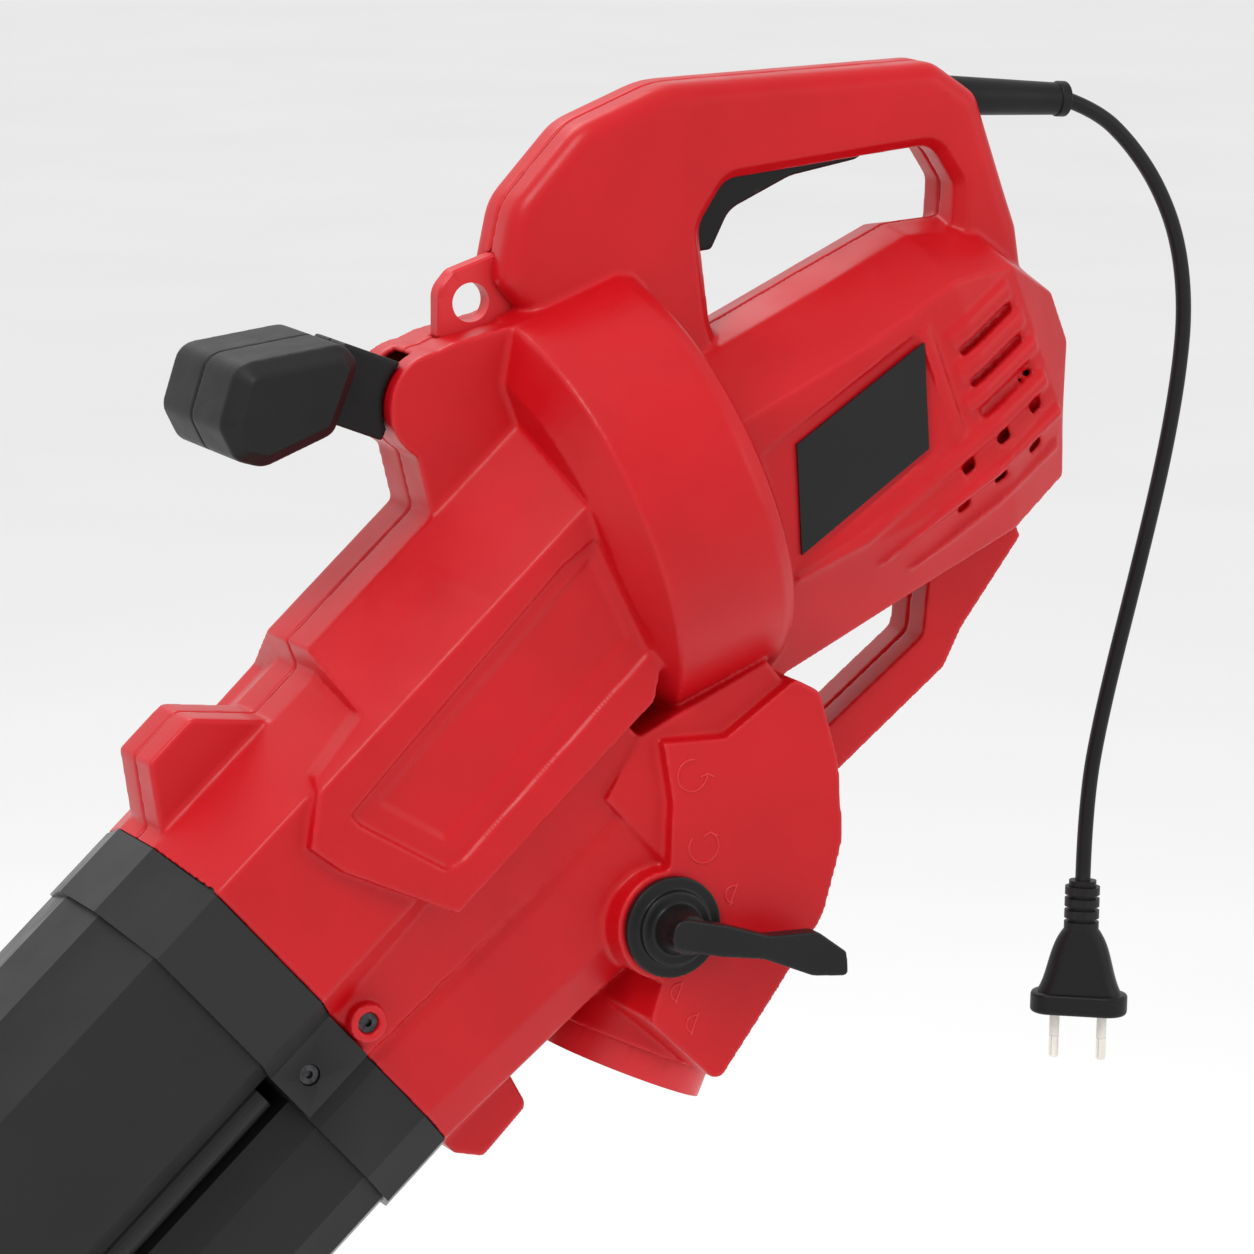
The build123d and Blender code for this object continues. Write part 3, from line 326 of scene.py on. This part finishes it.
def join(pieces):
    """Join objects' meshes into the first one."""
    build = bmesh.new()
    for piece in pieces:
        build.from_mesh(piece.data)
    build.to_mesh(pieces[0].data)
    build.free()
    for piece in pieces[1:]:
        bpy.data.objects.remove(piece)
    return pieces[0]


def applied(piece):
    """Make a piece's modifiers part of its mesh."""
    depsgraph = bpy.context.evaluated_depsgraph_get()
    mesh = bpy.data.meshes.new_from_object(piece.evaluated_get(depsgraph))
    piece.modifiers.clear()
    old = piece.data
    piece.data = mesh
    bpy.data.meshes.remove(old)
    return piece


def merged_copy(node, name):
    """A copy of a CAD node's mesh with its loose triangles joined up."""
    build = bmesh.new()
    build.from_mesh(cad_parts[node].data)
    bmesh.ops.remove_doubles(build, verts=build.verts, dist=2e-6)
    mesh = bpy.data.meshes.new(name)
    build.to_mesh(mesh)
    build.free()
    piece = bpy.data.objects.new(name, mesh)
    bpy.context.scene.collection.objects.link(piece)
    return piece


def softened(piece, voxel, triangles, passes=4):
    """Round every edge of a closed piece a little, as moulding does."""
    remesh = piece.modifiers.new("soften", "REMESH")
    remesh.mode = "VOXEL"
    remesh.voxel_size = voxel
    relax = piece.modifiers.new("relax", "SMOOTH")
    relax.factor = 0.5
    relax.iterations = passes
    applied(piece)
    count = sum(len(p.vertices) - 2 for p in piece.data.polygons)
    if count > triangles:
        thin = piece.modifiers.new("thin", "DECIMATE")
        thin.ratio = triangles / count
        applied(piece)
    piece.data.shade_smooth()
    return piece


def cut(piece, cutters):
    """Take cutters out of a piece."""
    for cutter in cutters:
        boolean = piece.modifiers.new("cut", "BOOLEAN")
        boolean.object = cutter
        boolean.operation = "DIFFERENCE"
        boolean.solver = "EXACT"
    applied(piece)
    for cutter in cutters:
        bpy.data.objects.remove(cutter)
    return piece


red_abs = moulded("red_abs", (0.47, 0.002, 0.006), (0.54, 0.003, 0.008), (0.72, 0.04, 0.05),
                  0.38, 1500, 0.00011, 0.3)

PANEL = [(-337, -24), (-337, -30), (-325, -69), (-318, -71), (-212, -69), (-198, -20), (-215, -18)]
PANEL_FIELD = [(-326, -29), (-317, -61), (-214, -60), (-203, -25)]
LABEL_FIELD = [(10.5, 5.5), (93.5, 23.5), (81.5, -23.0), (6.5, -44.5)]
PANEL_DEPTH = 2.2
FIELD_DEPTH = 1.3
PLATE_DEPTH = 1.0
PANEL_EDGE = 0.9         # how far a panel's sloping edge leans in
FIELD_EDGE = 0.6
PANEL_BACK = 5.6         # back of the wall behind the panel, under the surface
PLATE_BACK = 4.4
BACK_LAP = 1             # the backing reaches this far under the wall round the recess

LOUVRE_START = 103
LOUVRE_PROUD = 1.9
# lower and upper height at the louvres' start, and the stations each louvre passes
LOUVRES = [
    (9.2, 17.4, (100, 110, 122, 133)),
    (-4.2, 3.8, (99, 110, 122, 135)),
    (-16.2, -9.6, (98, 108, 120, 137)),
]
# stops, height over the wall, depth under it
RAILS = [
    ([(8, -46.6, -45), (40, -46, -40), (86, -34.5, -27), (110, -29, -21.5), (136, -23, -16)], 2.4, 6),
    ([(44, -58, -57), (76, -50.6, -46.4), (102, -45.6, -40.8), (138, -36.5, -31.4)], 2.6, 6),
    ([(58, -67, -66), (80, -63.8, -60.4), (102, -59.6, -55.2), (134, -51, -45.8)], 2.6, 6),
    ([(88, -26.5, 21), (93, -26, 22)], 1.7, 6),
]
BAFFLES = [
    ([(97, -24, 28), (136, -12, 26)], -3.6, 5.4),
    ([(80, -62, -28), (136, -50, -18)], -3.8, 5.6),
]
POSTS = [(96.5, -34.6), (115.0, -30.3), (90.5, -49.2), (109.0, -44.9)]
POST_HALF_WIDTH = 1.3
POST_HALF_HEIGHT = 5
POST_PROUD = -0.4
POST_SUNK = 4.4

CHUTE_HALF_MM = 64
SIGN_SPOTS = [(-232.5, -116), (-248, -140), (-252, -163), (-293, -174), (-297, -188)]
SIGN_STROKE = 0.9
ARROW_RADIUS = 6.2
ARROW_SWEEP = 280
PUFF_RADIUS = 3.4


def louvre_field(side):
    """The framed louvres and long rails behind the name plate, and the baffles inside the slots."""
    bars = [
        rail(side, sloping(LOUVRE_START, low, high, stations), LOUVRE_PROUD)
        for low, high, stations in LOUVRES
    ]
    bars += [rail(side, stops, proud, sunk) for stops, proud, sunk in RAILS + BAFFLES]
    for s, height in POSTS:
        low, high = height - POST_HALF_HEIGHT, height + POST_HALF_HEIGHT
        stops = [(s - POST_HALF_WIDTH, low, high), (s + POST_HALF_WIDTH, low, high)]
        bars.append(rail(side, stops, POST_PROUD, POST_SUNK))
    return bars


def raised_stroke(points, width, side):
    """A thin raised line on the chute's plate, through (x, z) points in millimetres."""
    path = bpy.data.curves.new("stroke", "CURVE")
    path.dimensions = "3D"
    line = path.splines.new("POLY")
    line.points.add(len(points) - 1)
    for spot, (x, z) in zip(line.points, points):
        spot.co = (*at(x, z, side * CHUTE_HALF_MM), 1)
    path.bevel_depth = width / 2000
    path.bevel_resolution = 1
    path.use_fill_caps = True
    curve = bpy.data.objects.new("stroke", path)
    bpy.context.scene.collection.objects.link(curve)
    mesh = bpy.data.meshes.new_from_object(curve.evaluated_get(bpy.context.evaluated_depsgraph_get()))
    bpy.data.objects.remove(curve)
    piece = bpy.data.objects.new("stroke", mesh)
    bpy.context.scene.collection.objects.link(piece)
    return piece


def bow(centre, radius, start, sweep, count=14):
    """Points along an arc; angles are degrees in the tool's own plane."""
    angles = [math.radians(start + sweep * k / count) for k in range(count + 1)]
    return [(centre[0] + radius * math.cos(a), centre[1] + radius * math.sin(a)) for a in angles]


def mode_signs(side):
    """Plain raised signs round the lever: two turning arrows, then puffs of air."""
    strokes = []
    for centre, start in (SIGN_SPOTS[0], 40), (SIGN_SPOTS[1], 100):
        arc = bow(centre, ARROW_RADIUS, start, ARROW_SWEEP)
        tip = arc[-1]
        strokes.append(arc)
        strokes.append([(tip[0] - 3, tip[1] + 1), tip, (tip[0] + 1, tip[1] - 3.2)])
    for spot in SIGN_SPOTS[2:]:
        strokes.append(bow(spot, PUFF_RADIUS, 20, 200))
        strokes.append([(spot[0] - 4, spot[1] - 2), (spot[0] + 4, spot[1] + 2)])
    return [raised_stroke(stroke, SIGN_STROKE, side) for stroke in strokes]


def housing_shell(node, side):
    """One shell, from its CAD half, with its outside details; the lever's signs are on the left only."""
    shell = merged_copy(node, node.replace("housing", "shell"))
    panel = [(x, z, RAISED_HALF_MM) for x, z in PANEL]
    field = [(x, z, RAISED_HALF_MM - PANEL_DEPTH) for x, z in PANEL_FIELD]
    plate_field = [(*fan_plane(s, h), motor_side(s, h)) for s, h in LABEL_FIELD]
    cut(shell, [
        sunk_panel(panel, PANEL_EDGE, PANEL_DEPTH, side),
        sunk_panel(field, FIELD_EDGE, FIELD_DEPTH, side),
        sunk_panel(plate_field, FIELD_EDGE, PLATE_DEPTH, side),
    ])
    panel_wall = panel_block(panel, ((-BACK_LAP, -PANEL_DEPTH), (-BACK_LAP, -PANEL_BACK)), side)
    plate_wall = panel_block(plate_field, ((-BACK_LAP, -PLATE_DEPTH), (-BACK_LAP, -PLATE_BACK)), side)
    backing = [cut(panel_wall, [sunk_panel(field, FIELD_EDGE, FIELD_DEPTH, side)]), plate_wall]
    join([shell] + backing + louvre_field(side))
    softened(shell, SHELL_VOXEL, SHELL_TRIANGLES)
    if side < 0:
        join([shell] + mode_signs(side))
        shell.data.shade_smooth()
    shell.data.materials.clear()
    shell.data.materials.append(red_abs)
    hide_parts(node)
    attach(shell, "body")


housing_shell("housing_left", -1)
housing_shell("housing_right", 1)


# ---- black fittings --------------------------------------------------------------------------------
# Glass-filled black mouldings with a matt grain: tubes, tilting grip, mode lever and trigger.  The strap
# eye and the bag spigot beside them are moulded in the shells' red.
black_nylon = moulded("black_nylon", (0.005, 0.005, 0.0053), (0.008, 0.008, 0.0085), (0.03, 0.03, 0.031),
                      0.36, 1300, 0.00012, 0.24)
grip_black = moulded("grip_black", (0.006, 0.006, 0.0063), (0.010, 0.010, 0.0105), (0.026, 0.026, 0.027),
                     0.5, 1100, 0.00016, 0.22)


def soft_fitting(node, body, material, voxel, passes=3, triangles=150000):
    """A moulded fitting from its CAD node, with softened edges."""
    piece = merged_copy(node, node + "_moulding")
    softened(piece, voxel, triangles, passes)
    piece.data.materials.clear()
    piece.data.materials.append(material)
    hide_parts(node)
    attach(piece, body)


soft_fitting("mode_lever", "lever", black_nylon, 0.0006)
soft_fitting("aux_grip_left", "aux_grip", grip_black, 0.0009, 6)
soft_fitting("aux_grip_right", "aux_grip", grip_black, 0.0009, 6)
soft_fitting("trigger", "trigger", black_nylon, 0.0007)


def round_bar(start, end, radius, sides=28):
    """A round bar between two points of the frame."""
    build = bmesh.new()
    bmesh.ops.create_cone(build, cap_ends=True, segments=sides, radius1=radius, radius2=radius,
                          depth=(end - start).length)
    turn = (end - start).to_track_quat("Z", "Y").to_matrix().to_4x4()
    bmesh.ops.transform(build, verts=build.verts, matrix=Matrix.Translation((start + end) / 2) @ turn)
    return finish_mesh(build, "round_bar")


# The lower tube carries a round stiffening rib each side, in the gap under the upper tube.
RIB_RADIUS = 0.0075
RIB_ENDS_MM = (-1060, -430)
RIB_HEIGHT_MM = -89.5
RIB_SIDE_MM = 27
lower_tube = merged_copy("lower_tube", "lower_tube_moulding")
for side in (-1, 1):
    start, end = (at(x, RIB_HEIGHT_MM, side * RIB_SIDE_MM) for x in RIB_ENDS_MM)
    join([lower_tube, round_bar(start, end, RIB_RADIUS)])
lower_tube.data.materials.clear()
lower_tube.data.materials.append(black_nylon)
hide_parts("lower_tube")
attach(lower_tube, "body")
paint("upper_tube", black_nylon)
paint("strap_eye", red_abs)
paint("bag_spigot", red_abs)


# ---- name plates -----------------------------------------------------------------------------------
# Blank satin plates let into each side of the motor housing.
plate_black = moulded("plate_black", (0.007, 0.0072, 0.0072), (0.010, 0.0103, 0.0103), (0.015, 0.015, 0.015),
                      0.4, 700, 0.00002, 0.22)
paint("label_left", plate_black)
paint("label_right", plate_black)


# ---- screws ----------------------------------------------------------------------------------------
# Black-plated pan-head screws.
screw_steel = metal("black_plated_steel", (0.03, 0.03, 0.032), (0.08, 0.08, 0.085), 0.34)
for node in ("housing_screws", "side_screws", "tube_screws", "aux_grip_screws", "clamp_screws",
             "aux_pivot_pin", "trigger_pin"):
    paint(node, screw_steel)


# ---- motor, fan and switch -------------------------------------------------------------------------
# What the housing holds: a universal motor on two bearings, its fan and cooling fan, and the switch.
bare_steel = metal("bare_steel", (0.42, 0.42, 0.43), (0.6, 0.6, 0.61), 0.32)
laminations = metal("laminations", (0.20, 0.20, 0.21), (0.42, 0.42, 0.43), 0.45, (6, 6, 0.2))
copper = metal("enamelled_copper", (0.42, 0.14, 0.05), (0.62, 0.25, 0.10), 0.36)
natural_nylon = moulded("natural_nylon", (0.42, 0.41, 0.37), (0.5, 0.49, 0.45), (0.56, 0.55, 0.5),
                        0.5, 900, 0.00008)
dark_nylon = moulded("dark_nylon", (0.014, 0.014, 0.015), (0.022, 0.022, 0.023), (0.05, 0.05, 0.05),
                     0.5, 1100, 0.00008)
carbon = moulded("carbon", (0.02, 0.02, 0.021), (0.035, 0.035, 0.036), (0.06, 0.06, 0.06),
                 0.6, 1500, 0.00005)
for node in ("rotor_shaft", "front_bearing", "rear_bearing", "motor_front_bracket", "motor_rear_bracket",
             "motor_bolts", "impeller_nut", "impeller_washer", "lever_spindle"):
    paint(node, bare_steel)
for node in ("stator_core", "rotor_core"):
    paint(node, laminations)
for node in ("stator_windings", "rotor_windings", "commutator"):
    paint(node, copper)
for node in ("impeller", "cooling_fan", "fan_backplate", "diverter_flap"):
    paint(node, natural_nylon)
for node in ("switch_body", "switch_plunger", "capacitor", "brush_holders", "cord_clamp"):
    paint(node, dark_nylon)
paint("brushes", carbon)


# ---- floor and light -------------------------------------------------------------------------------
# A plain pale floor just under the nozzle and soft studio light.
FLOOR_SIDE = 60.0
floor_mesh = bpy.data.meshes.new("floor")
half = FLOOR_SIDE / 2
floor_z = cad_box[0][2] - 0.004
floor_mesh.from_pydata(
    [(-half, -half, floor_z), (half, -half, floor_z), (half, half, floor_z), (-half, half, floor_z)], [],
    [(0, 1, 2, 3)])
floor = bpy.data.objects.new("floor", floor_mesh)
bpy.context.scene.collection.objects.link(floor)
floor_paint, floor_tree, floor_shader, floor_place = new_material("pale_floor")
floor_tone = spread(floor_tree, noise(floor_tree, floor_place, 3), 0, 1)
floor_tree.links.new(tint(floor_tree, floor_tone, (0.93, 0.93, 0.93), (0.95, 0.95, 0.95)),
                     floor_shader.inputs["Base Color"])
floor_shader.inputs["Roughness"].default_value = 0.9
floor_shader.inputs["Specular IOR Level"].default_value = 0.1
floor_mesh.materials.append(floor_paint)

world = bpy.data.worlds.new("studio")
bpy.context.scene.world = world
world.use_nodes = True
backdrop = world.node_tree.nodes["Background"]
backdrop.inputs["Color"].default_value = (1.0, 1.0, 1.0, 1)
backdrop.inputs["Strength"].default_value = 0.86
bpy.context.scene.view_settings.view_transform = "Standard"


def soft_light(name, place, aim, size, power):
    """A large square lamp."""
    data = bpy.data.lights.new(name, "AREA")
    data.shape = "SQUARE"
    data.size = size
    data.energy = power
    lamp = bpy.data.objects.new(name, data)
    bpy.context.scene.collection.objects.link(lamp)
    direction = Vector(aim) - Vector(place)
    lamp.matrix_world = Matrix.Translation(place) @ direction.to_track_quat("-Z", "Y").to_matrix().to_4x4()


soft_light("key", (-1.5, -1.0, 1.9), (-0.1, 0, -0.1), 0.9, 30)
soft_light("fill", (1.6, -1.6, 0.5), (0, 0, -0.1), 1.2, 6)
soft_light("rim", (-0.4, 1.4, 1.5), (-0.1, 0, -0.1), 1.0, 14)
